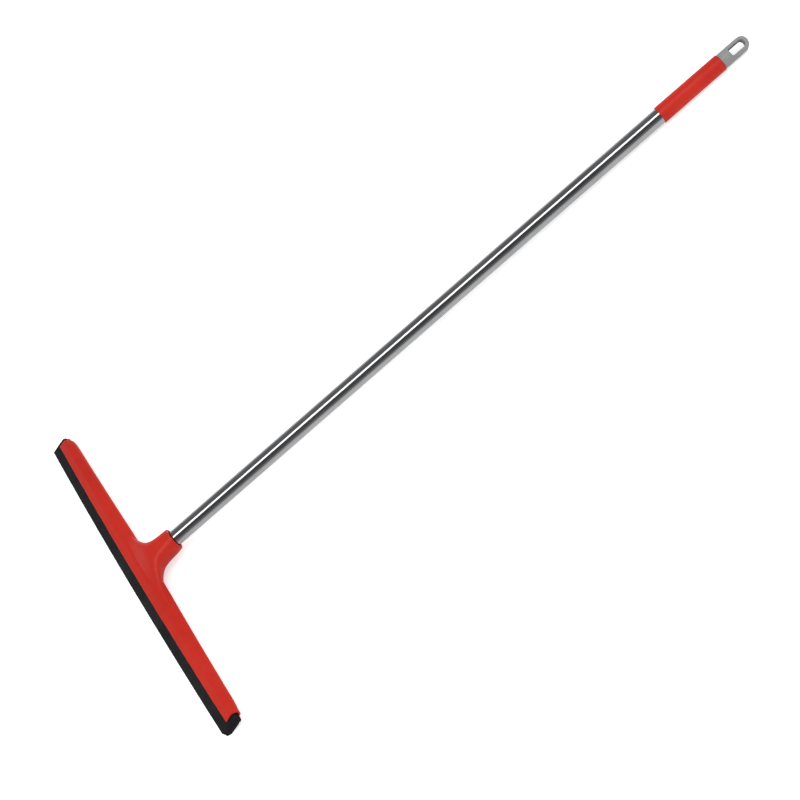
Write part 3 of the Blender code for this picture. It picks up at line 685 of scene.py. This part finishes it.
# ------------------------------------------------------------------ assembly
red = moulded("red_polypropylene", (0.42, 0.0135, 0.0065), (0.475, 0.0175, 0.0085), (0.52, 0.023, 0.012), worn=(0.60, 0.08, 0.06),
              shine=0.19)
grip_red = moulded("red_grip_plastic", (0.43, 0.0145, 0.007), (0.485, 0.019, 0.0095), (0.53, 0.025, 0.013), rough=(0.36, 0.52),
                   peel=0.14, worn=(0.60, 0.09, 0.065), shine=0.17)
grey = moulded("grey_moulded_plastic", (0.215, 0.218, 0.220), (0.255, 0.258, 0.260), (0.30, 0.303, 0.305), rough=(0.4, 0.56), peel=0.12,
               worn=(0.44, 0.44, 0.44))
natural = moulded("natural_plastic", (0.62, 0.60, 0.54), (0.70, 0.68, 0.62), (0.76, 0.74, 0.69), rough=(0.4, 0.55), worn=(0.8, 0.78, 0.74))
foam, chrome, steel = foam_material(), chrome_material(), steel_material()


def place(obj, mat, body, node):
    obj.data.materials.clear()
    obj.data.materials.append(mat)
    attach(obj, body)
    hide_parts(node)
    return obj


place(build_head(), red, "head", "head_frame")
place(build_lip("front_foam", True), foam, "head", "foam_lip_front")
place(build_lip("rear_foam", False), foam, "head", "foam_lip_rear")
place(build_tube(), chrome, "handle", "handle_tube")
place(build_plug(), natural, "handle", "threaded_plug")
place(build_rivet(), steel, "handle", "plug_rivet")
place(build_grip(), grip_red, "handle", "grip_sleeve")
place(build_bush(), natural, "handle", "swivel_bush")
place(build_loop(), grey, "loop", "hanging_loop")


# --------------------------------------------------------------------- stage
def area_light(name, location, target, size, power, colour=(1, 1, 1)):
    data = bpy.data.lights.new(name, "AREA")
    data.shape = "RECTANGLE"
    data.size, data.size_y = size
    data.energy, data.color = power, colour
    light = bpy.data.objects.new(name, data)
    bpy.context.scene.collection.objects.link(light)
    light.location = location
    light.rotation_euler = (Vector(target) - Vector(location)).to_track_quat("-Z", "Y").to_euler()
    return light


bm = bmesh.new()
bmesh.ops.create_circle(bm, cap_ends=True, segments=96, radius=14.0)
floor = finished(bm, "floor", Matrix.Translation((0, 0, -0.0002)))
floor.data.materials.append(floor_material())

world = bpy.data.worlds.new("studio")
bpy.context.scene.world = world
world.use_nodes = True
tree = world.node_tree
soft = tree.nodes["Background"]
soft.inputs["Color"].default_value = (0.80, 0.80, 0.80, 1)
seen = tree.nodes.new("ShaderNodeBackground")                 # the darker room that polished parts mirror
room = tree.nodes.new("ShaderNodeTexCoord")
height = tree.nodes.new("ShaderNodeSeparateXYZ")
tree.links.new(room.outputs["Generated"], height.inputs[0])
walls = tree.nodes.new("ShaderNodeValToRGB")
walls.color_ramp.elements[0].position, walls.color_ramp.elements[0].color = 0.0, (0.85, 0.85, 0.855, 1)
walls.color_ramp.elements[1].position, walls.color_ramp.elements[1].color = 0.85, (0.19, 0.19, 0.195, 1)
for at, tone in ((0.13, 0.56), (0.28, 0.46), (0.44, 0.24)):
    walls.color_ramp.elements.new(at).color = (tone, tone, tone + 0.005, 1)
tree.links.new(height.outputs["Z"], walls.inputs["Fac"])
pale_walls = tree.nodes.new("ShaderNodeValToRGB")              # the other side has a pale lower wall
pale_walls.color_ramp.elements[0].position, pale_walls.color_ramp.elements[0].color = 0.26, (0.85, 0.85, 0.855, 1)
pale_walls.color_ramp.elements[1].position, pale_walls.color_ramp.elements[1].color = 0.85, (0.19, 0.19, 0.195, 1)
pale_walls.color_ramp.elements.new(0.40).color = (0.27, 0.27, 0.275, 1)
tree.links.new(height.outputs["Z"], pale_walls.inputs["Fac"])
which = tree.nodes.new("ShaderNodeMapRange")
which.inputs["From Min"].default_value, which.inputs["From Max"].default_value = -0.15, -0.40
tree.links.new(height.outputs["X"], which.inputs["Value"])
both = tree.nodes.new("ShaderNodeMix")
both.data_type = "RGBA"
tree.links.new(which.outputs["Result"], both.inputs[0])
tree.links.new(walls.outputs["Color"], both.inputs[6])
tree.links.new(pale_walls.outputs["Color"], both.inputs[7])
shaded = tree.nodes.new("ShaderNodeMapRange")                 # one side of the room is darker
shaded.inputs["From Min"].default_value, shaded.inputs["From Max"].default_value = 0.15, 0.6
shaded.inputs["To Min"].default_value, shaded.inputs["To Max"].default_value = 1.0, 0.45
tree.links.new(height.outputs["X"], shaded.inputs["Value"])
tree.links.new(both.outputs[2], seen.inputs["Color"])
tree.links.new(shaded.outputs["Result"], seen.inputs["Strength"])
path = tree.nodes.new("ShaderNodeLightPath")
choose = tree.nodes.new("ShaderNodeMixShader")
tree.links.new(path.outputs["Is Glossy Ray"], choose.inputs[0])
tree.links.new(soft.outputs[0], choose.inputs[1])
tree.links.new(seen.outputs[0], choose.inputs[2])
backdrop = tree.nodes.new("ShaderNodeBackground")
backdrop.inputs["Color"].default_value = (1.0, 1.0, 1.0, 1)
last = tree.nodes.new("ShaderNodeMixShader")
tree.links.new(path.outputs["Is Camera Ray"], last.inputs[0])
tree.links.new(choose.outputs[0], last.inputs[1])
tree.links.new(backdrop.outputs[0], last.inputs[2])
tree.links.new(last.outputs[0], tree.nodes["World Output"].inputs["Surface"])

area_light("top_softbox", (0.62, 0.1, 2.8), (0.62, 0.1, 0.0), (1.0, 5.0), 52.0)

camera_data = bpy.data.cameras.new("camera")
camera_data.lens, camera_data.sensor_width = 89.284, 36.0
camera_data.clip_end = 50.0
camera = bpy.data.objects.new("camera", camera_data)
bpy.context.scene.collection.objects.link(camera)
turn3 = TOOL.to_3x3()
right = turn3 @ Vector((0.4872066, 0.68123588, 0.54639492))
down = turn3 @ Vector((0.61711561, 0.17412656, -0.76736449))
ahead = turn3 @ Vector((-0.61789809, 0.71105388, -0.33556569))
view = Matrix((right, -down, -ahead)).transposed().to_4x4()
view.translation = TOOL @ Vector((1.63517411, -1.65345664, 1.25444889))
camera.matrix_world = view
bpy.context.scene.camera = camera
bpy.context.scene.view_settings.view_transform = "Standard"
